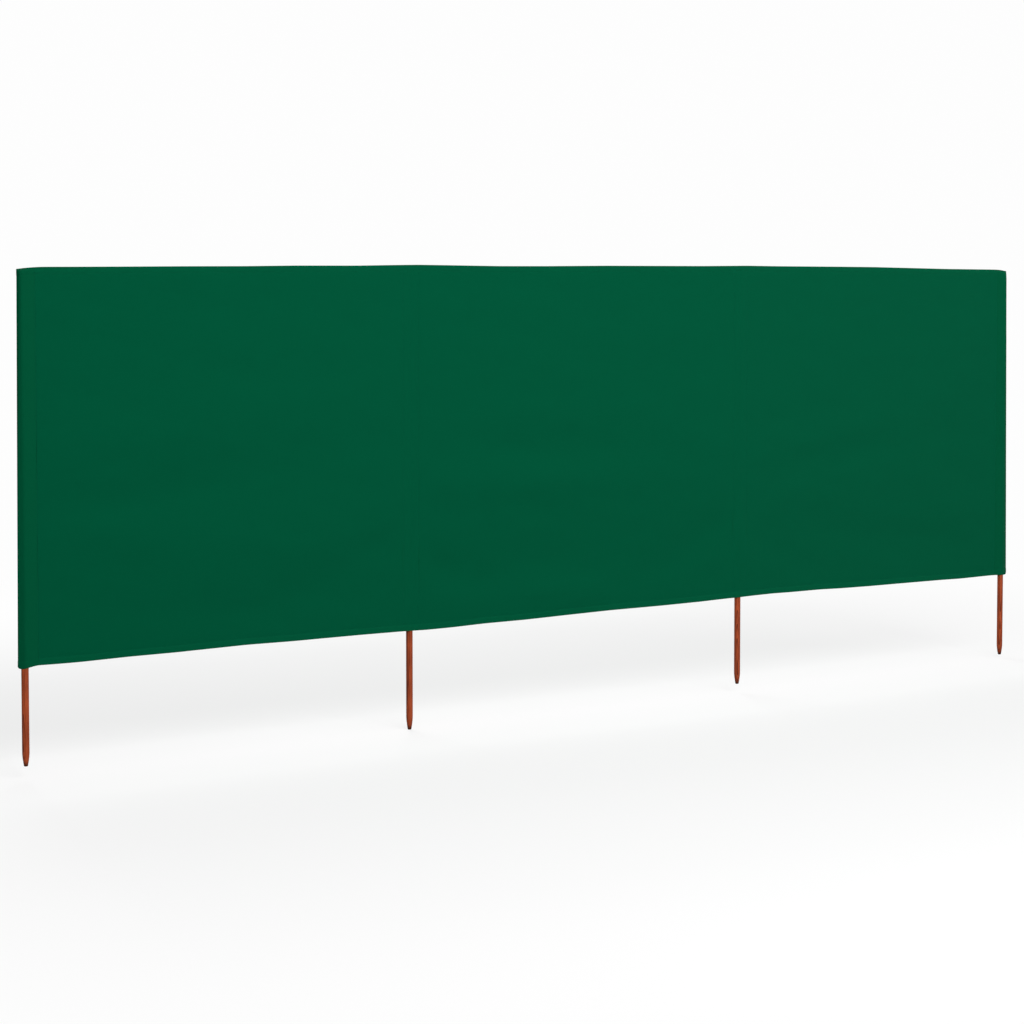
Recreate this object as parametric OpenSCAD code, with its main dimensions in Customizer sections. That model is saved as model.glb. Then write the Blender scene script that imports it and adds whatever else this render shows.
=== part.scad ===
// Beach windbreak: three bays of taut cloth carried by four round wooden poles.
//
// Millimetres, +Z up. The row runs along +X, from the left pole to the right pole,
// and its front looks along -Y. The origin is on the flat tip of pole 2, the
// second pole from the left. The middle bay lies along X. The left bay turns about
// the axis of pole 2, and the right bay turns about the axis of pole 3.

/* [Cloth] */
// Width of one bay, from pole centre to pole centre
bay_w = 1333; // [900:1:1700]
// Height of the cloth, from its bottom edge to its top edge
cloth_h = 1200; // [700:1:1400]
// Thickness of the cloth
cloth_t = 1.6; // [1:0.1:2.4]

/* [Hems] */
// Height of the folded hem along the top and the bottom edge
hem_h = 22; // [12:1:40]
// Thickness of a hem
hem_t = 2.4; // [1.4:0.1:2.6]

/* [Poles] */
// Diameter of a pole
pole_d = 22; // [18:1:34]
// Gap above the pole that stands highest in its sleeve
head_room = 18; // [2:1:60]
// Length of the pointed end of a pole
tip_l = 46; // [20:1:80]
// Diameter of the blunted end of the point
tip_d = 12; // [6:1:16]
// Edge bevel round that flat face
tip_bevel = 1; // [0.5:0.1:2]
// Edge bevel on the top end of a pole
top_bevel = 1.5; // [0.5:0.1:3]

/* [Pole ends below the cloth] */
// Length of pole 1 that shows below the cloth
show_1 = 300; // [200:1:400]
// Length of pole 2 that shows below the cloth
show_2 = 338; // [200:1:400]
// Length of pole 3 that shows below the cloth
show_3 = 307; // [200:1:400]
// Length of pole 4 that shows below the cloth
show_4 = 325; // [200:1:400]

/* [Sleeves] */
// Thickness of the sleeve's cloth
sleeve_t = 1.5; // [0.8:0.1:2.5]
// Gap all round between a pole and its sleeve
pole_gap = 0.3; // [0.2:0.1:1]
// Thickness of the sewn end that closes a sleeve at the top
cap_t = 2; // [1:0.1:4]
// How far a sleeve runs on below the bottom edge of the cloth
sleeve_drop = 4; // [0:1:12]
// Gap between a sleeve and the cloth that is sewn to it
seam_gap = 0.3; // [0.2:0.1:0.6]

/* [Stance] */
// Turn of the left bay at pole 2 as the row stands, towards the front
left_turn = 3.3; // [0:0.1:12]
// Turn of the right bay at pole 3 as the row stands, towards the back
right_turn = 3.6; // [0:0.1:12]

/* [Hidden] */
$fn = 96;

pole_r = pole_d / 2;
sleeve_in_r = pole_r + pole_gap;
sleeve_out_r = sleeve_in_r + sleeve_t;

// Heights: the origin is on the tip of pole 2, so its showing length lifts the cloth.
cloth_z = show_2;
cloth_top = cloth_z + cloth_h;
sleeve_z = cloth_z - sleeve_drop;
cap_z = cloth_top - cap_t;

// The poles are cut to one length, which the pole that shows least fills its sleeve with.
pole_show = [show_1, show_2, show_3, show_4];
pole_l = cloth_h - cap_t - head_room + min(pole_show);

// Free width of the cloth of one bay, between the sleeves at its two sides
side_inset = sleeve_out_r + seam_gap;
span = bay_w - 2 * side_inset;

cloth_green = [0.00, 0.32, 0.21];
hem_green = [0.00, 0.27, 0.18];
sleeve_green = [0.00, 0.30, 0.20];
pole_brown = [0.55, 0.26, 0.15];

// Puts a piece that is drawn along X from x = 0 at the left pole of bay 1, 2 or 3.
module in_bay(bay) {
    if (bay == 1)
        rotate([0, 0, left_turn])
            translate([-bay_w, 0, 0])
                children();
    if (bay == 2)
        children();
    if (bay == 3)
        translate([bay_w, 0, 0])
            rotate([0, 0, right_turn])
                children();
}

// Puts a piece that is drawn round the Z axis on the axis of pole 1, 2, 3 or 4.
module on_pole(number) {
    if (number == 1)
        in_bay(1)
            children();
    if (number == 2)
        children();
    if (number == 3)
        translate([bay_w, 0, 0])
            children();
    if (number == 4)
        in_bay(3)
            translate([bay_w, 0, 0])
                children();
}

// Half outline of a pole: flat tip with a bevelled edge, point with full flanks,
// shank, bevelled top end. The flank is a sine curve, which meets the shank
// without a corner.
flank_steps = 8;
flank = [
    for (step = [0 : flank_steps - 1])
        let (part = step / flank_steps)
            [
                tip_d / 2 + (pole_r - tip_d / 2) * sin(90 * part),
                tip_bevel + (tip_l - tip_bevel) * part
            ]
];
pole_outline = concat(
    [[0, 0], [tip_d / 2 - tip_bevel, 0]],
    flank,
    [
        [pole_r, tip_l],
        [pole_r, pole_l - top_bevel],
        [pole_r - top_bevel, pole_l],
        [0, pole_l]
    ]
);

// A round dowel that stands on its blunted point.
module pole(number) {
    color(pole_brown)
        on_pole(number)
            translate([0, 0, cloth_z - pole_show[number - 1]])
                rotate_extrude()
                    polygon(pole_outline);
}

// The cloth tube that a pole slides up into.
module sleeve(number) {
    color(sleeve_green)
        on_pole(number)
            translate([0, 0, sleeve_z])
                difference() {
                    cylinder(r = sleeve_out_r, h = cap_z - sleeve_z);
                    translate([0, 0, -1])
                        cylinder(r = sleeve_in_r, h = cap_z - sleeve_z + 2);
                }
}

// The sewn end that closes a sleeve over the top of its pole.
module sleeve_cap(number) {
    color(sleeve_green)
        on_pole(number)
            translate([0, 0, cap_z])
                cylinder(r = sleeve_out_r, h = cap_t);
}

// A strip of a bay's full free width, centred on the bay's plane.
module strip(bay, thick, low, high) {
    in_bay(bay)
        translate([side_inset, -thick / 2, low])
            cube([span, thick, high - low]);
}

// The taut cloth of one bay, between its hems.
module fabric_bay(bay) {
    color(cloth_green)
        strip(bay, cloth_t, cloth_z + hem_h, cloth_top - hem_h);
}

// The folded and stitched top edge of one bay.
module top_hem(bay) {
    color(hem_green)
        strip(bay, hem_t, cloth_top - hem_h, cloth_top);
}

// The folded and stitched bottom edge of one bay.
module bottom_hem(bay) {
    color(hem_green)
        strip(bay, hem_t, cloth_z, cloth_z + hem_h);
}

pole(1);  // pole_1
pole(2);  // pole_2
pole(3);  // pole_3
pole(4);  // pole_4
sleeve(1);  // sleeve_1
sleeve(2);  // sleeve_2
sleeve(3);  // sleeve_3
sleeve(4);  // sleeve_4
sleeve_cap(1);  // sleeve_cap_1
sleeve_cap(2);  // sleeve_cap_2
sleeve_cap(3);  // sleeve_cap_3
sleeve_cap(4);  // sleeve_cap_4
fabric_bay(1);  // fabric_bay_1
fabric_bay(2);  // fabric_bay_2
fabric_bay(3);  // fabric_bay_3
top_hem(1);  // top_hem_1
top_hem(2);  // top_hem_2
top_hem(3);  // top_hem_3
bottom_hem(1);  // bottom_hem_1
bottom_hem(2);  // bottom_hem_2
bottom_hem(3);  // bottom_hem_3
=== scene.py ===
"""Beach windbreak: three bays of green cloth on four stained softwood poles.

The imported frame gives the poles. The cloth, its hems, the sleeves round the
poles and the stitches are built here, as thin closed skins laid on one long
strip that runs from pole 1 to pole 4. Lengths are in metres, Z is up and the
front of the windbreak faces -Y.
"""

import math

import bpy
import numpy as np
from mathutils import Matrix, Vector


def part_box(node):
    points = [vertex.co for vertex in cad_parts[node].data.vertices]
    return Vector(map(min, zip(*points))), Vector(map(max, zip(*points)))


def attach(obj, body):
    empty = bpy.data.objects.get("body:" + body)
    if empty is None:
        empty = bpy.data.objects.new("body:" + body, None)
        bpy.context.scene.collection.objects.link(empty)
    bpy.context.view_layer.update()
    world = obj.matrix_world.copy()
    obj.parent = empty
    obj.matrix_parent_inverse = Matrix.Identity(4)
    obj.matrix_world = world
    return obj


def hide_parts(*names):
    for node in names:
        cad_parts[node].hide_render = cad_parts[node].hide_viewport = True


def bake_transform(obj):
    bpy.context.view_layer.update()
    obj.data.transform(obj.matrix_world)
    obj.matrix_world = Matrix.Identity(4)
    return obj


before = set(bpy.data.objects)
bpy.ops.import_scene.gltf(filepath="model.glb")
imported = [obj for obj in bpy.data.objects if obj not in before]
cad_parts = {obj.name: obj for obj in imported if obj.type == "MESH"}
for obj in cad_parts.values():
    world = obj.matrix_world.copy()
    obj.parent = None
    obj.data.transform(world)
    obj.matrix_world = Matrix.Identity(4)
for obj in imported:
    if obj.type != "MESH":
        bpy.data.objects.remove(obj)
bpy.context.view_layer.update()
MM = 0.001

# ---------------------------------------------------------------- the strip
# A place on the strip has three measures: s, the distance along the poles' line
# from pole 2, h, the level above the lower edge, and n, the distance in front of
# the poles' line. The frame's own nodes give the line and the heights.

boxes = [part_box(f"pole_{i}") for i in (1, 2, 3, 4)]
AXIS = np.array([[(lo.x + hi.x) / 2, (lo.y + hi.y) / 2] for lo, hi in boxes])
HEAD = np.array([hi.z for lo, hi in boxes])
POLE_R = (boxes[1][1].y - boxes[1][0].y) / 2
BASE_Z = min(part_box(f"bottom_hem_{i}")[0].z for i in (1, 2, 3))
TOP_Z = max(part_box(f"top_hem_{i}")[1].z for i in (1, 2, 3))
HEIGHT = TOP_Z - BASE_Z

STEPS = AXIS[1:] - AXIS[:-1]
BAYS = np.hypot(STEPS[:, 0], STEPS[:, 1])
TURNS = np.arctan2(STEPS[:, 1], STEPS[:, 0])
DIRS = STEPS / BAYS[:, None]
POST = np.array([-BAYS[0], 0, BAYS[1], BAYS[1] + BAYS[2]])  # s of each pole
PAST = 100 * MM  # how far the line runs on past each end pole
RUN = np.r_[POST[0] - PAST, POST, POST[3] + PAST]
TRACK = np.vstack([AXIS[0] - PAST * DIRS[0], AXIS, AXIS[3] + PAST * DIRS[2]])

# Cloth
PLY = 0.25 * MM  # half the cloth's thickness
HEM = 20 * MM  # a hem's stitch line, from the cloth's edge
FRONT = POLE_R + 0.9 * MM  # from a middle pole's axis to the cloth in front of it
SHOULDER = 30 * MM  # how far beside that pole an outer bay's cloth leaves FRONT
BEND = 90 * MM  # how far beside a middle pole a turning bay would bend; only kept in LEFT and RIGHT
SEAM_PULL = (0.25 * MM, 3.5 * MM)  # depth and half width of the dip at a seam
HEM_PULL = (0.2 * MM, 3 * MM)  # the same at a hem's stitch line

# Sleeves
SEAM = 28 * MM  # seam of a middle sleeve, from the pole's axis
END_SEAM = (42 * MM, 37 * MM)  # seams of the two end sleeves
# The folded outer edges of the two end sleeves, each at the bottom and at the top
END_TIP = ((22 * MM, 13.5 * MM), (31 * MM, 15 * MM))
END_N = 3.5 * MM  # how far in front of the poles' line an end seam lies
CORNER = 9 * MM  # radius of an end sleeve's lower corner
ROUND_POLE = POLE_R + 0.8 * MM  # radius of a sleeve's ply round its pole
SEAM_R = 0.3 * MM  # radius with which that ply turns in to its seam
FOLD_R = 0.65 * MM  # radius of an end sleeve's outer fold
BEHIND = 0.6 * MM  # from the front cloth to the ply sewn behind it
HEAD_ROOM = 1.5 * MM  # how far above its pole's head a sleeve starts to close
SHUT = 4 * MM  # how far below the top edge it is closed
END_WIDE = 128 * MM  # flat width of an end sleeve's cloth
STRIP_WIDE = 76 * MM  # flat width of a middle sleeve's strip

# Heights of the two long edges along the strip: (s, mm above the nominal edge).
TOP_EDGE = [(-1.351, -13), (-1.333, -10), (-1.3, -7), (-1.27, -5.5), (-1.16, -5),
            (-1.0, -4), (-0.8, -2.5), (-0.6, -1.6), (-0.42, 0.8), (-0.2, 1.2),
            (-0.05, 3.6), (0.03, 4.6), (0.14, 3.4), (0.34, 1), (0.52, 1.3),
            (0.76, 3.4), (1.16, 3.2), (1.36, 5), (1.5, 3.6), (1.8, 2.7),
            (1.97, 1.8), (2.12, -0.6), (2.36, -4.6), (2.6, -6.2), (2.64, -7),
            (2.66, -9.5), (2.69, -14)]
LOW_EDGE = [(-1.351, -5.5), (-1.335, -4.4), (-1.322, -2.4), (-1.308, 0.6),
            (-1.285, 0.9), (-1.24, -0.4), (-1.16, -1.5), (-1.0, 0), (-0.84, -1),
            (-0.6, 0.8), (-0.44, -2.2), (-0.2, -3.5), (-0.04, -5.6), (0.06, -8),
            (0.16, -7), (0.28, -3.8), (0.44, -3.2), (0.6, 0.1), (0.78, 3.4),
            (1.0, 3.9), (1.16, 5.7), (1.25, 8), (1.4, 10.3), (1.49, 10.6),
            (1.58, 8.6), (1.72, 7.2), (1.82, 3.6), (1.96, 0.6), (2.12, -1.4),
            (2.34, -4.6), (2.44, -7.2), (2.6, -6.9), (2.69, -9)]
SOFTEN = np.linspace(-15 * MM, 15 * MM, 7)  # shifts over which an edge is averaged

# Slack in the cloth: (s, height over the lower edge, turn in degrees, half
# length, half width, mm outwards) of each long soft ridge or hollow.
SLACK = [
    (-0.86, 0.674, 9, 0.46, 0.075, 3.2),
    (-0.90, 0.499, 8, 0.40, 0.045, -3.8),
    (-0.98, 0.364, -3, 0.32, 0.050, 4.3),
    (-0.42, 0.294, 12, 0.32, 0.085, 3.0),
    (-0.36, 0.144, 5, 0.34, 0.060, -3.2),
    (0.46, 0.584, -3, 0.24, 0.040, -3.0),
    (0.46, 0.469, -2, 0.30, 0.048, 3.8),
    (0.62, 0.214, 3, 0.38, 0.060, -4.3),
    (0.50, 0.069, -4, 0.32, 0.045, 3.5),
    (1.02, 0.654, -14, 0.30, 0.070, 2.2),
    (1.78, 0.589, 8, 0.22, 0.045, 3.0),
    (1.80, 0.499, 5, 0.25, 0.035, -2.7),
    (1.76, 0.384, -4, 0.40, 0.080, 3.0),
    (1.98, 0.194, -7, 0.34, 0.060, -3.2),
    (2.34, 0.724, 38, 0.30, 0.085, 2.2),
    (-0.20, 0.255, 24, 0.24, 0.038, -2.7),
    (0.14, 0.180, -23, 0.22, 0.036, -3.2),
    (1.10, 0.200, 28, 0.28, 0.040, -3.5),
    (1.52, 0.160, -26, 0.20, 0.036, -2.4),
    (2.36, 0.300, -48, 0.24, 0.060, 3.2),
]
RIPPLE = 0.24  # height of the longest ripple, in mm
TIGHT = 110 * MM  # the slack fades out this near to a pole
QUIET = 120 * MM  # and falls to a half this near to a long edge


def step(x):
    """Smooth change from 0 to 1 as x goes from 0 to 1: three x squared less two x cubed."""
    x = np.clip(x, 0, 1)
    return x * x * (3 - 2 * x)


def waves(seed, count, longest, shortest, lean):
    """Directions, phases and sizes of plane waves whose lengths run from longest to shortest.

    lean is how far they turn from running level, in radians.
    """
    rng = np.random.default_rng(seed)
    length = np.geomspace(longest, shortest, count)
    turn = np.pi / 2 + rng.normal(0, lean, count)
    return [(2 * np.pi / l * math.cos(a), 2 * np.pi / l * math.sin(a), p, l / longest)
            for l, a, p in zip(length, turn, rng.uniform(0, 2 * np.pi, count))]


RIPPLES = waves(seed=7, count=12, longest=0.24, shortest=0.07, lean=0.42)


def slack(s, z):
    """How far the cloth stands out at strip distance s and world height z.

    Each ridge is a Gaussian along and across its own line, and low plane waves
    add an uneven ripple. It fades out at the poles, where the cloth is tight,
    and falls to a half at the long edges.
    """
    z = z - BASE_Z
    mm = np.zeros(np.broadcast(s, z).shape)
    for s0, z0, turn, long, wide, out in SLACK:
        c, q = math.cos(math.radians(turn)), math.sin(math.radians(turn))
        a, b = (s - s0) * c + (z - z0) * q, (z - z0) * c - (s - s0) * q
        mm += out * np.exp(-((a / long) ** 2) / 2 - (b / wide) ** 2 / 2)
    for ks, kz, phase, size in RIPPLES:
        mm += RIPPLE * size * np.sin(ks * s + kz * z + phase)
    free = step(np.min([np.abs(s - p) for p in POST], axis=0) / TIGHT)
    rim = np.minimum(z, HEIGHT - z)
    return MM * mm * free * (0.5 + 0.5 * step(rim / QUIET))


def edge(table, s):
    """Height of a long edge over its nominal height, at strip distance s.

    It runs straight between the table's points, and is averaged over 30 mm so
    that no corner shows.
    """
    at, mm = np.array(table).T
    return MM * np.mean([np.interp(s + d, at, mm) for d in SOFTEN], axis=0)


def height(s, h):
    """World height of level h on the strip, where 0 is the lower edge and HEIGHT the upper one.

    A quarter circle of radius CORNER rounds each lower corner.
    """
    low, top = BASE_Z + edge(LOW_EDGE, s), TOP_Z + edge(TOP_EDGE, s)
    inset = np.minimum(s - POST[0] + END_TIP[0][0], POST[3] + END_TIP[1][0] - s)
    reach = np.clip(1 - inset / CORNER, 0, 0.97)
    low = low + CORNER * (1 - np.sqrt(1 - reach**2))
    return low + (top - low) * h / HEIGHT


def place(s, n, z):
    """World point at strip distance s, n in front of the poles' line, at world height z.

    The front direction turns from one bay's to the next over a sleeve's width.
    """
    left = 1 - step((s + SEAM) / (2 * SEAM))
    right = step((s - POST[2] + SEAM) / (2 * SEAM))
    turn = TURNS[0] * left + TURNS[1] * (1 - left - right) + TURNS[2] * right
    x, y = np.interp(s, RUN, TRACK[:, 0]), np.interp(s, RUN, TRACK[:, 1])
    return np.stack([x + n * np.sin(turn), y - n * np.cos(turn), z + 0 * s], -1)


def depth(s):
    """How far the taut cloth lies in front of the poles' line.

    It is FRONT across the middle bay, and falls straight to END_N at the end seams.
    """
    ends = [POST[0] + END_SEAM[0], POST[1] - SHOULDER, POST[2] + SHOULDER, POST[3] - END_SEAM[1]]
    return np.interp(s, ends, [END_N, FRONT, FRONT, END_N])


def dip(distance, pull):
    """How far a line of stitches draws the cloth in at that distance from it: a Gaussian."""
    deep, wide = pull
    return deep * np.exp(-((distance / wide) ** 2))


def cloth_point(s, h):
    """World point in the middle of the front cloth's thickness, at strip distance s and level h."""
    s, h = np.broadcast_arrays(s, h)
    z = height(s, h)
    near = np.minimum(np.abs(np.abs(s) - SEAM), np.abs(np.abs(s - POST[2]) - SEAM))
    rim = np.minimum(h, HEIGHT - h)
    n = depth(s) + slack(s, z) - dip(near, SEAM_PULL) - dip(rim - HEM, HEM_PULL)
    return place(s, n, z)


def outward(s):
    """Front direction of the cloth at each strip distance."""
    return place(s, 1.0 + 0 * s, 0 * s) - place(s, 0.0 * s, 0 * s)


# ------------------------------------------------------------------- meshes


def solid(name, points, quads, uv, material):
    """Object at the origin from points, four-sided faces and one UV for each point."""
    mesh = bpy.data.meshes.new(name)
    mesh.vertices.add(len(points))
    mesh.vertices.foreach_set("co", np.ascontiguousarray(points, np.float32).ravel())
    mesh.loops.add(quads.size)
    mesh.loops.foreach_set("vertex_index", quads.ravel().astype(np.int32))
    mesh.polygons.add(len(quads))
    mesh.polygons.foreach_set("loop_start", np.arange(0, quads.size, 4, dtype=np.int32))
    layer = mesh.uv_layers.new(name="metres")
    layer.data.foreach_set("uv", uv[quads.ravel()].astype(np.float32).ravel())
    mesh.polygons.foreach_set("use_smooth", np.ones(len(quads), bool))
    mesh.update(calc_edges=True)
    mesh.validate()
    mesh.set_sharp_from_angle(angle=math.radians(55))
    mesh.materials.append(material)
    obj = bpy.data.objects.new(name, mesh)
    bpy.context.scene.collection.objects.link(obj)
    return obj


def normals(grid):
    """Unit normals of a grid of points: the cross product of its steps along and up."""
    n = np.cross(np.gradient(grid, axis=1), np.gradient(grid, axis=0))
    return n / np.linalg.norm(n, axis=-1, keepdims=True)


def run_length(points):
    """Distance from the first point to each one, along the line of points."""
    gaps = np.linalg.norm(np.diff(points, axis=0), axis=1)
    return np.r_[0, np.cumsum(gaps)]


def skin(grid, out, back):
    """Points, faces and UVs of a closed skin round a grid of points, rows upwards.

    One face stands off along the grid's normals by out and the other against
    them by back, and rims close the four sides.
    """
    rows, cols = grid.shape[:2]
    n = normals(grid)
    out, back = np.broadcast_to(out, (rows, cols)), np.broadcast_to(back, (rows, cols))
    points = np.stack([grid + n * out[..., None], grid - n * back[..., None]])
    f, b = np.arange(points[..., 0].size).reshape(2, rows, cols)
    face = np.stack([f[:-1, :-1], f[:-1, 1:], f[1:, 1:], f[1:, :-1]], -1)
    rear = np.stack([b[:-1, :-1], b[1:, :-1], b[1:, 1:], b[:-1, 1:]], -1)
    ring_f = np.r_[f[0, :], f[1:, -1], f[-1, -2::-1], f[-2::-1, 0]]
    ring_b = np.r_[b[0, :], b[1:, -1], b[-1, -2::-1], b[-2::-1, 0]]
    rim = np.stack([ring_f[:-1], ring_b[:-1], ring_b[1:], ring_f[1:]], -1)
    u = run_length(grid[rows // 2])
    v = run_length(grid[:, cols // 2])
    uv = np.stack(np.broadcast_arrays(u[None, :], v[:, None]), -1)
    quads = np.concatenate([face.reshape(-1, 4), rear.reshape(-1, 4), rim])
    return points.reshape(-1, 3), quads, np.concatenate([uv.reshape(-1, 2)] * 2)


def joined(parts):
    """Several (points, faces, UVs) as one."""
    start = np.cumsum([0] + [len(p) for p, _, _ in parts[:-1]])
    return (np.concatenate([p for p, _, _ in parts]),
            np.concatenate([q + k for (_, q, _), k in zip(parts, start)]),
            np.concatenate([t for _, _, t in parts]))


# ------------------------------------------------------------ cloth and hems

GAP = 10 * MM  # between rows, and between columns, of the plain cloth
HEM_GAP = 3 * MM  # between columns of a hem
SEAM_COLUMNS = MM * np.array([-8, -5, -3, -1.2, 0, 1.2, 3, 5, 8])  # about each seam

# A hem's section: distance from the cloth's edge, stand-off of its front and back.
HEM_AT = MM * np.array([0, 0.15, 0.4, 0.9, 1.8, 4, 9, 14, 17.2, 19, 20, 20.8, 21.6,
                        22.2, 22.8])
HEM_OUT = MM * np.array([0.12, 0.36, 0.52, 0.66, 0.76, 0.82, 0.8, 0.82, 0.72, 0.5, 0.34,
                         0.33, 0.3, 0.24, 0.12])
HEM_BACK = MM * np.array([0.12, 0.4, 0.65, 0.9, 1.1, 1.2, 1.15, 1.2, 1.1, 0.8, 0.6,
                          0.78, 1.0, 1.02, 0.5])
HEM_END = 22.6 * MM  # past here a sleeve is one ply thick
GATHER = (15 * MM, 5 * MM, 0.3 * MM)  # place, half width and depth of a hem's gathers


def levels(extra=()):
    """Levels for the rows of a piece that runs the full height.

    They lie close together at the hems and at the extra levels, and GAP apart between.
    """
    low = np.r_[HEM_AT, 26 * MM, 32 * MM]
    middle = np.arange(40 * MM, HEIGHT - 38 * MM, GAP)
    return np.unique(np.round(np.concatenate([low, middle, HEIGHT - low, extra]), 6))


def columns(first, last, gap, near=()):
    """Strip distances from first to last, gap apart, with closer ones about the seams in near."""
    every = [np.linspace(first, last, int(round((last - first) / gap)) + 1)]
    every += [seam + SEAM_COLUMNS for seam in near]
    s = np.unique(np.round(np.concatenate(every), 6))
    return np.r_[first, s[(s > first + 0.2 * MM) & (s < last - 0.2 * MM)], last]


def pucker(s):
    """Uneven gathers that a line of stitches leaves: sines 9 to 31 mm long, from -1 to 1."""
    return sum(np.sin(2 * np.pi * s / l + p) for l, p in
               ((0.0093, 0.4), (0.0131, 2.1), (0.0197, 4.0), (0.0311, 1.3))) / 4


def hem_skin(s, top):
    """The folded band along one long edge, from the edge to just past its stitch line.

    Gathers push it in and out, most at GATHER's place.
    """
    order = slice(None, None, -1 if top else 1)
    at, out, back = (a[order] for a in (HEM_AT, HEM_OUT, HEM_BACK))
    grid = cloth_point(s[None, :], (HEIGHT - at if top else at)[:, None])
    where, wide, deep = GATHER
    bell = np.exp(-(((at - where) / wide) ** 2))[:, None]
    wave = deep * pucker(s)[None, :] * bell
    return skin(grid, out[:, None] + wave, back[:, None] - 0.7 * wave)


# ------------------------------------------------------------------ sleeves


def outline(sets, first, last, count):
    """Taut outlines round two sets of discs (x, y, radius), from heading first to heading last.

    At each heading the line passes through the outermost disc's own edge
    point, and it runs straight from disc to disc. Both outlines get points at
    the same headings, so that any mix of the two is taut round what they share.
    """
    a = np.linspace(first, last, 2161)
    heading = np.stack([np.cos(a), np.sin(a)], -1)
    lines = []
    for discs in map(np.array, sets):
        k = np.argmax(heading @ discs[:, :2].T + discs[:, 2], axis=1)
        lines.append(discs[k, :2] + discs[k, 2:] * heading)
    d = run_length((lines[0] + lines[1]) / 2)
    at = np.linspace(0, d[-1], count)
    return [np.stack([np.interp(at, d, line[:, k]) for k in (0, 1)], -1) for line in lines]


def stand_off(h):
    """Stand-off of a sleeve's face at level h: a hem's at the two edges, and one ply's between."""
    rim = np.minimum(h, HEIGHT - h)
    return np.where(rim > HEM_END, PLY, np.interp(rim, HEM_AT, HEM_OUT))


def strip_depth(h):
    """How far a back strip's flat sides lie in front of the poles' line at level h.

    That is just behind the cloth, and 0.75 mm farther back behind a hem.
    """
    rim = np.minimum(h, HEIGHT - h)
    return FRONT - BEHIND - 0.75 * MM * step((26 * MM - rim) / (4 * MM))


def sleeve_rows(i):
    """Levels, openness and stand-off of sleeve i, each as one column.

    A sleeve is open to HEAD_ROOM above its pole's head. From there the openness
    falls by a quarter ellipse to 0, at SHUT below the top edge.
    """
    z = HEAD[i] + HEAD_ROOM
    low, top = height(POST[i], 0.0), height(POST[i], HEIGHT)
    head = float((z - low) / (top - low) * HEIGHT)
    shut = HEIGHT - SHUT
    h = levels(head + (shut - head) * np.sin(np.linspace(0, np.pi / 2, 12)))
    openness = np.sqrt(1 - np.clip((h - head) / (shut - head), 0, 1) ** 2)
    return h[:, None], openness[:, None], stand_off(h)[:, None]


def loose(x, h, seed):
    """Uneven slack of a sleeve: long low waves up its length, from about -1 to 1."""
    rng = np.random.default_rng(seed)
    total = 0
    for length in (0.51, 0.29, 0.17, 0.105, 0.062):
        lean = rng.uniform(-30, 30)
        phase = rng.uniform(0, 6.3)
        total = total + np.sin(2 * np.pi * h / length + lean * x + phase) * length**0.5
    return total / 2.2


def end_sleeve(i):
    """The tunnel round an end pole.

    One ply passes in front of the pole, folds at the outer edge and comes back
    behind the pole to the seam. Its section is a taut outline round the pole,
    the fold and the seam, mixed from the bottom's to the top's.
    """
    side = 1 if i == 0 else -1  # the way from the pole to its seam, along the strip
    seam = END_SEAM[i // 3]
    sets = [[(0, 0, ROUND_POLE), (side * (seam - SEAM_R), END_N - SEAM_R, SEAM_R),
             (-side * (tip - FOLD_R - PLY), 0, FOLD_R)] for tip in END_TIP[i // 3]]
    first = 0 if side > 0 else np.pi
    lap = [[side * (seam + past * MM), END_N - BEHIND] for past in (6, 3)]
    low, top = (np.vstack([lap, line] if side > 0 else [line, lap[::-1]])[None]
                for line in outline(sets, first, first - 2 * np.pi, 84))
    h, openness, thick = sleeve_rows(i)
    line = low + (top - low) * (h / HEIGHT)[..., None]
    x, n = line[..., 0], line[..., 1]
    middle = END_N * np.clip(side * x / seam, 0, 1)
    off = n - middle
    held = np.exp(-((x / (30 * MM)) ** 4))
    sway = 0.45 * MM * loose(x, h, 20 + i) * held * np.sign(off) * (np.abs(off) > 0.5 * MM)
    n = middle + off * openness + np.sign(off) * 0.4 * MM * (1 - openness)
    n = n + np.maximum(sway, -0.1 * MM) * openness
    s = POST[i] + x
    return skin(place(s, n, height(s, h)), thick, PLY)


def back_strip(i):
    """The strip sewn behind the cloth at a middle pole.

    It is flat to its two seams, and between them a taut outline round the back
    of the pole.
    """
    behind = FRONT - BEHIND - SEAM_R
    discs = [(0, 0, ROUND_POLE), (SEAM, behind, SEAM_R), (-SEAM, behind, SEAM_R)]
    line = outline([discs, discs], 0, -np.pi, 56)[0]
    laps = [[[side * (SEAM + past * MM), FRONT] for past in (4.5, 2.5)] for side in (1, -1)]
    line = np.vstack([laps[0], line, laps[1][::-1]])
    h, openness, thick = sleeve_rows(i)
    x, n = line[None, :, 0], line[None, :, 1]
    off = np.minimum(n - (FRONT - BEHIND), 0)
    sway = 0.6 * MM * np.maximum(loose(x, h, 40 + i), -0.2) * step(-off / (10 * MM))
    s = POST[i] + x + 0 * h
    return skin(place(s, strip_depth(h) + (off - sway) * openness, height(s, h)), thick, PLY)


# ------------------------------------------------------------------ stitches

PITCH = 4 * MM  # from one stitch to the next
PROUD = 0.1 * MM  # how far a seam's thread lies over the cloth
HEM_PROUD = (0.36 * MM, 0.66 * MM)  # the same for a hem's, from its middle: front, back
BESIDE = (1.5 * MM, 1.2 * MM)  # how far past its seam: an end sleeve's, a middle one's
# A stitch's four rings: place along it, radius, and height over the cloth.
STITCH_REACH = np.array([-0.43, -0.3, 0.3, 0.43]) * PITCH
STITCH_GIRTH = np.array([0.1, 0.24, 0.24, 0.1]) * MM
STITCH_SINK = np.array([-0.14, 0.0, 0.0, -0.14]) * MM


def along_line(where, d, values):
    """The values at distances where, on a line whose own points lie at distances d."""
    return np.stack([np.interp(where, d, values[:, k]) for k in range(3)], -1)


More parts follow.
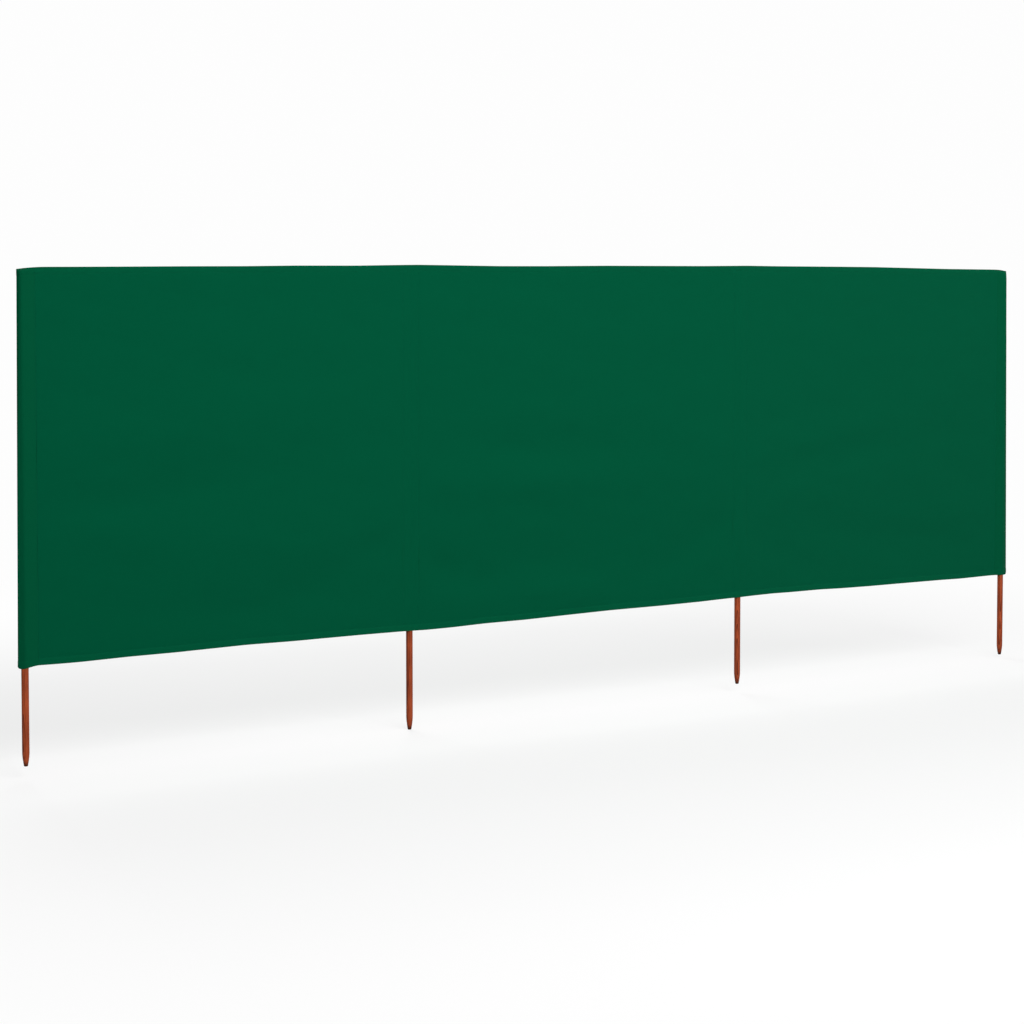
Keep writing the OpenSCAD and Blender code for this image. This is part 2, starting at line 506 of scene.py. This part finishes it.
def stitches(line, lift):
    """Short threads along a line of points on the cloth, PITCH apart.

    Each is a six-sided grain that lies along the line, thick in the middle and
    sunk at both ends. lift is the outward direction at each point.
    """
    d = run_length(line)
    at = np.arange(PITCH / 2, d[-1], PITCH)
    along = along_line(at + PITCH / 4, d, line) - along_line(at - PITCH / 4, d, line)
    along /= np.linalg.norm(along, axis=1, keepdims=True)
    up = along_line(at, d, lift)
    up -= along * np.sum(along * up, axis=1, keepdims=True)
    up /= np.linalg.norm(up, axis=1, keepdims=True)
    side = np.cross(along, up)
    ring = np.linspace(0, 2 * np.pi, 6, endpoint=False)
    r, c = np.meshgrid(np.arange(4), ring, indexing="ij")
    across = STITCH_GIRTH[r] * np.cos(c)
    out = STITCH_GIRTH[r] * np.sin(c) * 0.8 + STITCH_SINK[r]
    points = (along_line(at, d, line)[:, None, None]
              + along[:, None, None] * STITCH_REACH[r][None, ..., None]
              + side[:, None, None] * across[None, ..., None]
              + up[:, None, None] * out[None, ..., None]).reshape(-1, 3)
    k = np.arange(24).reshape(4, 6)
    j = np.roll(k, -1, axis=1)
    wall = np.stack([k[:-1], k[1:], j[1:], j[:-1]], -1).reshape(-1, 4)
    caps = np.array([[0, 1, 2, 3], [0, 3, 4, 5], [21, 20, 19, 18], [23, 22, 21, 18]])
    quads = np.concatenate([wall, caps])
    quads = (quads[None] + 24 * np.arange(len(at))[:, None, None]).reshape(-1, 4)
    return points, quads, np.zeros((len(points), 2))


def hem_thread(s):
    """Both stitch lines of a bay's two hems, on the front and on the back."""
    parts = []
    for h in (HEM, HEIGHT - HEM):
        line, up = cloth_point(s, h), outward(s)
        parts.append(stitches(line + up * HEM_PROUD[0], up))
        parts.append(stitches(line - up * HEM_PROUD[1], -up))
    return joined(parts)


def seam_thread(i):
    """The upright stitch lines of sleeve i, on the front and on the back."""
    h = np.linspace(3 * MM, HEIGHT - 3 * MM, 240)
    over = stand_off(h) + PROUD
    if i in (1, 2):
        seams = [POST[i] + side * (SEAM + BESIDE[1]) for side in (-1, 1)]
        behind = strip_depth(h)
    else:
        side = 1 if i == 0 else -1
        seams = [POST[i] + side * (END_SEAM[i // 3] + BESIDE[0])]
        behind = END_N - BEHIND
    parts = []
    for seam in seams:
        s = np.full_like(h, seam)
        up = outward(s)
        parts.append(stitches(cloth_point(s, h) + up * over[:, None], up))
        parts.append(stitches(place(s, behind - over, height(s, h)), -up))
    return joined(parts)


# ---------------------------------------------------------------- materials


def rgb(code):
    """Linear colour of an sRGB hex code."""
    c = np.array([int(code[k : k + 2], 16) for k in (1, 3, 5)]) / 255
    c = np.where(c <= 0.04045, c / 12.92, ((c + 0.055) / 1.055) ** 2.4)
    return (*c.tolist(), 1.0)


def add(tree, kind, inputs=None, **settings):
    """A node of that kind with its settings. Each input is a value, or a socket to link from."""
    node = tree.nodes.new("ShaderNode" + kind)
    for key, value in settings.items():
        setattr(node, key, value)
    for key, value in (inputs or {}).items():
        if isinstance(value, bpy.types.NodeSocket):
            tree.links.new(value, node.inputs[key])
        else:
            node.inputs[key].default_value = value
    return node


def material(name):
    """An empty node material and its tree."""
    made = bpy.data.materials.new(name)
    made.use_nodes = True
    made.node_tree.nodes.clear()
    return made, made.node_tree


SHEEN = "#2E8A62"  # tint of the light that green polyester reflects


def woven(name, colour):
    """Plain-woven polyester, piece-dyed.

    Its many small threads scatter light, so that it looks matt, with a faint
    sheen.
    """
    made, tree = material(name)
    uv = add(tree, "UVMap", uv_map="metres").outputs[0]
    at = add(tree, "SeparateXYZ", {0: uv})
    # Real yarns are 0.4 mm apart, too fine to show, so they are drawn 1.1 mm apart.
    yarns = []
    for way in ("X", "Y"):
        angle = add(tree, "Math", {0: at.outputs[way], 1: math.pi / (1.1 * MM)},
                    operation="MULTIPLY").outputs[0]
        yarns.append(add(tree, "Math", {0: angle}, operation="SINE").outputs[0])
    weave = add(tree, "Math", {0: yarns[0], 1: yarns[1]}, operation="MULTIPLY").outputs[0]
    # Slubs: single yarns a little thicker or thinner over 70 mm, drawn 1.4 mm wide to show.
    slubs = []
    across, along = 1 / (1.4 * MM), 1 / (70 * MM)
    for scale in ((across, along, 1.0), (along, across, 1.0)):
        stretched = add(tree, "Mapping", {"Vector": uv, "Scale": scale})
        slubs.append(add(tree, "TexNoise", {"Vector": stretched.outputs[0], "Scale": 1.0,
                                            "Detail": 1.0}).outputs["Fac"])
    slub = add(tree, "Math", {0: slubs[0], 1: slubs[1]}, operation="ADD").outputs[0]
    # Dye takes very slightly unevenly over a hand's length.
    space = add(tree, "TexCoord").outputs["Object"]
    patch = add(tree, "TexNoise", {"Vector": space, "Scale": 1 / (167 * MM),
                                   "Detail": 3.0}).outputs["Fac"]
    light = add(tree, "Math", {0: slub, 1: 0.07, 2: 0.93}, operation="MULTIPLY_ADD").outputs[0]
    even = add(tree, "Math", {0: patch, 1: 0.03, 2: 0.985}, operation="MULTIPLY_ADD").outputs[0]
    shade = add(tree, "Math", {0: light, 1: even}, operation="MULTIPLY").outputs[0]
    grey = add(tree, "CombineColor", {"Red": shade, "Green": shade, "Blue": shade})
    dyed = add(tree, "Mix", {"Factor": 1.0, "A": rgb(colour), "B": grey.outputs[0]},
               data_type="RGBA", blend_type="MULTIPLY")
    cross = add(tree, "Math", {0: weave, 1: 0.5}, operation="MULTIPLY").outputs[0]
    relief = add(tree, "Math", {0: slub, 1: 0.5, 2: cross}, operation="MULTIPLY_ADD").outputs[0]
    bump = add(tree, "Bump", {"Strength": 0.8, "Distance": 0.3 * MM, "Height": relief})
    shader = add(tree, "BsdfPrincipled", {
        "Base Color": dyed.outputs["Result"], "Roughness": 0.82, "Specular IOR Level": 0.22,
        "Specular Tint": rgb(SHEEN), "Normal": bump.outputs[0]})
    add(tree, "OutputMaterial", {"Surface": shader.outputs[0]})
    return made


def thread(name, colour):
    """Spun polyester sewing thread, dyed to match the cloth.

    Its twist is tighter than the cloth's, so that it shines a little more.
    """
    made, tree = material(name)
    shader = add(tree, "BsdfPrincipled", {"Base Color": rgb(colour), "Roughness": 0.6,
                                          "Specular IOR Level": 0.3, "Specular Tint": rgb(SHEEN)})
    add(tree, "OutputMaterial", {"Surface": shader.outputs[0]})
    return made


def softwood(name, tip):
    """Turned softwood dowel, stained red-brown and left open-grained.

    The stain sinks into its late wood and fibres in darker bands and streaks,
    and darkest into the cut fibres of its point, which ends at height tip.
    """
    made, tree = material(name)
    space = add(tree, "TexCoord").outputs["Object"]
    at = add(tree, "SeparateXYZ", {0: space})
    # Growth rings, sawn along: 2.6 mm apart, and wandering over 111 mm across and 909 mm up.
    over = 1 / (111.1 * MM)
    drift = add(tree, "Mapping", {"Vector": space, "Scale": (over, over, 1 / (909 * MM))})
    wander = add(tree, "TexNoise", {"Vector": drift.outputs[0], "Scale": 1.0,
                                    "Detail": 2.0}).outputs["Fac"]
    slant = add(tree, "VectorMath", {0: space, 1: (0.8, 0.6, 0.0)},
                operation="DOT_PRODUCT").outputs["Value"]
    across = add(tree, "Math", {0: slant, 1: 1 / (2.6 * MM)}, operation="MULTIPLY").outputs[0]
    rings = add(tree, "Math", {0: wander, 1: 26.0, 2: across}, operation="MULTIPLY_ADD").outputs[0]
    ring = add(tree, "Math", {0: rings}, operation="FRACT").outputs[0]
    late = add(tree, "MapRange", {"Value": ring, "From Min": 0.45, "From Max": 0.95}).outputs[0]
    # Fibres: streaks 45 mm long. Real ones are 0.04 mm wide, drawn 0.67 mm wide so that they show.
    over = 1 / (0.667 * MM)
    fine = add(tree, "Mapping", {"Vector": space, "Scale": (over, over, 1 / (45.5 * MM))})
    fibre = add(tree, "TexNoise", {"Vector": fine.outputs[0], "Scale": 1.0, "Detail": 3.0,
                                   "Roughness": 0.6}).outputs["Fac"]
    # The stain lies unevenly, in blotches of 25 by 67 mm.
    over = 1 / (25 * MM)
    blotch = add(tree, "Mapping", {"Vector": space, "Scale": (over, over, 1 / (66.7 * MM))})
    stain = add(tree, "TexNoise", {"Vector": blotch.outputs[0], "Scale": 1.0,
                                   "Detail": 3.0}).outputs["Fac"]
    dark = add(tree, "Math", {0: stain, 1: 0.6}, operation="MULTIPLY").outputs[0]
    dark = add(tree, "Math", {0: fibre, 1: 0.5, 2: dark}, operation="MULTIPLY_ADD").outputs[0]
    dark = add(tree, "Math", {0: late, 1: 0.42, 2: dark}, operation="MULTIPLY_ADD").outputs[0]
    ramp = add(tree, "ValToRGB", {"Fac": dark})
    stops = ramp.color_ramp.elements
    stops[0].position, stops[0].color = 0.38, rgb("#C4572A")
    stops[1].position, stops[1].color = 1.0, rgb("#66230B")
    # Cut end grain: nearly black-brown on the blunt end, plain again some 20 mm up.
    up = add(tree, "Math", {0: at.outputs["Z"], 1: tip + 4 * MM}, operation="SUBTRACT").outputs[0]
    up = add(tree, "Math", {0: fibre, 1: 8 * MM, 2: up}, operation="MULTIPLY_ADD").outputs[0]
    clear = add(tree, "MapRange", {"Value": up, "From Min": 1 * MM, "From Max": 20 * MM,
                                   "To Min": 0.2, "To Max": 1.0},
                interpolation_type="SMOOTHSTEP").outputs[0]
    grey = add(tree, "CombineColor", {"Red": clear, "Green": clear, "Blue": clear})
    wood = add(tree, "Mix", {"Factor": 1.0, "A": ramp.outputs[0], "B": grey.outputs[0]},
               data_type="RGBA", blend_type="MULTIPLY")
    low = add(tree, "Math", {0: late, 1: 0.4}, operation="MULTIPLY").outputs[0]
    relief = add(tree, "Math", {0: fibre, 1: 0.6, 2: low}, operation="MULTIPLY_ADD").outputs[0]
    bump = add(tree, "Bump", {"Strength": 0.3, "Distance": 0.15 * MM, "Height": relief})
    shader = add(tree, "BsdfPrincipled", {
        "Base Color": wood.outputs["Result"], "Roughness": 0.55, "Specular IOR Level": 0.3,
        "Normal": bump.outputs[0]})
    add(tree, "OutputMaterial", {"Surface": shader.outputs[0]})
    return made


cloth_mat = woven("green woven polyester", "#005538")
# The hems' green is a touch lighter than the cloth's: painted light along the two long edges.
hem_mat_painted_lighter = woven("green woven polyester, hems, painted lighter", "#015739")
# The sleeves' green is a touch darker than the cloth's: painted shade on the tunnels round the
# poles.
sleeve_mat_painted_darker = woven("green woven polyester, sleeves, painted darker", "#015436")
thread_mat = thread("green sewing thread", "#07573E")

# ------------------------------------------------------------------- pieces
# A piece of a turning bay that crosses a pole is listed with the two bodies beside it, but is left
# unattached, its placement baked into its mesh.

LEFT = ("left_bay", "middle_bay", (*(AXIS[1] - BEND * DIRS[0]), 0), (*AXIS[1], 0))
RIGHT = ("right_bay", "middle_bay", (*(AXIS[2] + BEND * DIRS[2]), 0), (*AXIS[2], 0))


def carry(obj, how):
    """Lets a piece ride its body, or, where it crosses a pole that turns, bakes its placement into
    its mesh and leaves it unattached.
    """
    if isinstance(how, str):
        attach(obj, how)
    else:
        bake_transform(obj)


for number, (low, _) in enumerate(boxes, 1):
    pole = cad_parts[f"pole_{number}"]
    pole.data.materials.clear()
    pole.data.materials.append(softwood(f"stained softwood dowel {number}", low.z))

FIRST = (POST[0] + END_SEAM[0], POST[1], POST[2])
LAST = (POST[1], POST[2], POST[3] - END_SEAM[1])
SEAMS = [POST[k] + d for k in (1, 2) for d in (-SEAM, SEAM)]
for i, how in enumerate((LEFT, "middle_bay", RIGHT)):
    number = i + 1
    grid = cloth_point(columns(FIRST[i], LAST[i], GAP, SEAMS)[None, :], levels()[:, None])
    fine = columns(FIRST[i], LAST[i], HEM_GAP)
    cloth = solid(f"cloth_bay_{number}", *skin(grid, PLY, PLY), cloth_mat)
    carry(cloth, how)
    upper = solid(f"top_fold_{number}", *hem_skin(fine, True), hem_mat_painted_lighter)
    lower = solid(f"bottom_fold_{number}", *hem_skin(fine, False), hem_mat_painted_lighter)
    sewn = solid(f"hem_thread_{number}", *hem_thread(fine), thread_mat)
    for piece in (upper, lower, sewn):
        carry(piece, how)
    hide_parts(f"fabric_bay_{number}")
    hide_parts(f"top_hem_{number}")
    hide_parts(f"bottom_hem_{number}")

for i, how in enumerate(("left_bay", LEFT, RIGHT, "right_bay")):
    number = i + 1
    made, wide = (end_sleeve(i), END_WIDE) if i in (0, 3) else (back_strip(i), STRIP_WIDE)
    sleeve = solid(f"sleeve_cloth_{number}", *made, sleeve_mat_painted_darker)
    sewn = solid(f"seam_thread_{number}", *seam_thread(i), thread_mat)
    carry(sleeve, how)
    carry(sewn, how)
    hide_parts(f"sleeve_{number}", f"sleeve_cap_{number}")

# -------------------------------------------------------------------- stage

FLOOR_REACH = 60
WHITE = 0.985  # strength of the plain white that the camera sees far off

floor_mesh = bpy.data.meshes.new("floor")
floor_mesh.from_pydata([(x * FLOOR_REACH, y * FLOOR_REACH, 0) for x, y in
                        ((-1, -1), (1, -1), (1, 1), (-1, 1))], [], [(0, 1, 2, 3)])
floor = bpy.data.objects.new("floor", floor_mesh)
bpy.context.scene.collection.objects.link(floor)
floor_mat, tree = material("pale floor")
# Matt and pale near the object, fading to plain white between 1.9 and 4.2 m off its middle.
space = add(tree, "TexCoord").outputs["Object"]
centre = add(tree, "VectorMath", {0: space, 1: (0.667, 0.0, 0.0)}, operation="SUBTRACT")
far = add(tree, "VectorMath", {0: centre.outputs[0]}, operation="LENGTH").outputs["Value"]
fade = add(tree, "MapRange", {"Value": far, "From Min": 1.9, "From Max": 4.2},
           interpolation_type="SMOOTHSTEP")
seen = add(tree, "LightPath").outputs["Is Camera Ray"]
tone = add(tree, "Mix", {"Factor": seen, "A": rgb("#8C8C8C"), "B": rgb("#F8F8F8")},
           data_type="RGBA")
matt = add(tree, "BsdfDiffuse", {"Color": tone.outputs["Result"]})
white = add(tree, "Emission", {"Color": rgb("#FFFFFF"), "Strength": WHITE})
pale = add(tree, "Math", {0: fade.outputs[0], 1: 0.35, 2: 0.65}, operation="MULTIPLY_ADD")
plain = add(tree, "Math", {0: pale.outputs[0], 1: seen}, operation="MULTIPLY").outputs[0]
mixed = add(tree, "MixShader", {0: plain, 1: matt.outputs[0], 2: white.outputs[0]})
add(tree, "OutputMaterial", {"Surface": mixed.outputs[0]})
floor_mesh.materials.append(floor_mat)

world = bpy.data.worlds.new("studio")
bpy.context.scene.world = world
world.use_nodes = True
tree = world.node_tree
tree.nodes.clear()
soft = add(tree, "Background", {"Color": rgb("#FFFFFF"), "Strength": 0.34})
bright = add(tree, "Background", {"Color": rgb("#FFFFFF"), "Strength": WHITE})
seen = add(tree, "LightPath").outputs["Is Camera Ray"]
mixed = add(tree, "MixShader", {0: seen, 1: soft.outputs[0], 2: bright.outputs[0]})
add(tree, "OutputWorld", {"Surface": mixed.outputs[0]})


def lamp(name, spot, target, width, tall, watts):
    """Soft rectangular light at a spot, which faces a target."""
    data = bpy.data.lights.new(name, "AREA")
    data.shape, data.size, data.size_y, data.energy = "RECTANGLE", width, tall, watts
    obj = bpy.data.objects.new(name, data)
    bpy.context.scene.collection.objects.link(obj)
    obj.location = spot
    x, y, z = np.array(spot) - np.array(target)
    obj.rotation_euler = (math.atan2(math.hypot(x, y), z), 0, math.atan2(x, -y))


lamp("key", (0.2, -4.9, 4.3), (0.6, 0, 0.9), 4.6, 3.0, 250)
lamp("left fill", (-3.6, -3.8, 2.0), (-0.4, 0, 0.9), 3.0, 2.4, 12)
lamp("right fill", (4.9, -4.4, 2.8), (2.6, 0, 1.1), 2.4, 2.0, 82)
lamp("rear", (1.0, 4.8, 3.6), (0.67, 0, 0.8), 3.8, 3.0, 190)

# The camera stands to the left of the front, and tilts 2.8 degrees down.
camera_data = bpy.data.cameras.new("camera")
camera = bpy.data.objects.new("camera", camera_data)
bpy.context.scene.collection.objects.link(camera)
camera_data.sensor_width, camera_data.lens = 36.0, 78.14
camera_data.shift_y = -0.1228
camera.location = (-3.355, -6.5218, 1.5005)
camera.rotation_euler = (math.radians(90 - 2.8), 0, math.radians(-29.885))
bpy.context.scene.camera = camera
bpy.context.scene.view_settings.view_transform = "Standard"
